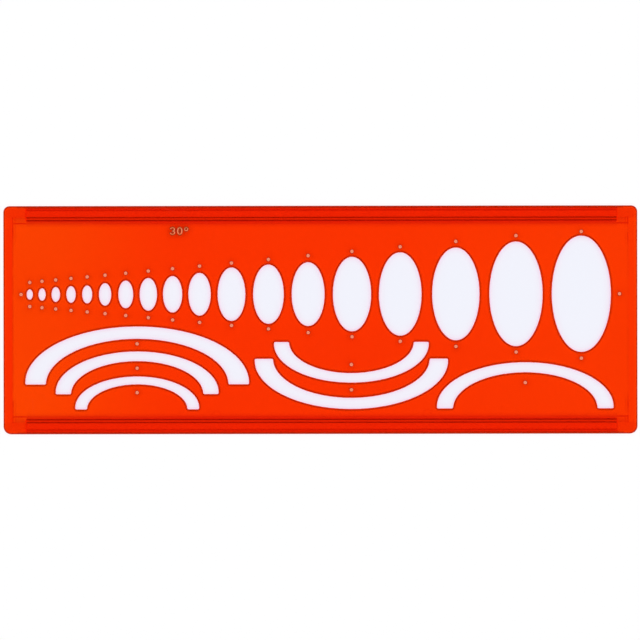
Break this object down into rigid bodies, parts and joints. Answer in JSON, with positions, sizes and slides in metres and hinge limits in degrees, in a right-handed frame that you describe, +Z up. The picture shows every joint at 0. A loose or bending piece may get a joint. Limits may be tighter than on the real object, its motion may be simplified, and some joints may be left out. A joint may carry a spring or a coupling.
{
  "type": "ellipse template",
  "caption": "Flat drawing template of clear orange plastic with upright ellipse openings in a row, nested half-ellipse bands below it and a raised inking rail under each long edge.",
  "frame": {"origin": "under the middle of the sheet, on the plane of the rail ribs that rest on the paper", "axes": "+X along the sheet towards the largest ellipse, +Y across it towards the edge above the large ellipses, +Z up out of the face that is drawn from"},
  "size_m": [0.25, 0.09, 0.0021],
  "materials": {
    "orange_sheet": "clear fluorescent orange, polished",
    "orange_rail": "clear fluorescent orange, polished",
    "cream_paint": "matt cream paint wiped into moulded dimples"
  },
  "bodies": {
    "root": {"template_sheet": "orange_sheet", "upper_ink_rail": "orange_rail", "lower_ink_rail": "orange_rail", "upper_axis_marks": "cream_paint", "lower_axis_marks": "cream_paint", "row_end_marks": "cream_paint", "band_axis_marks": "cream_paint"}
  },
  "joints": []
}
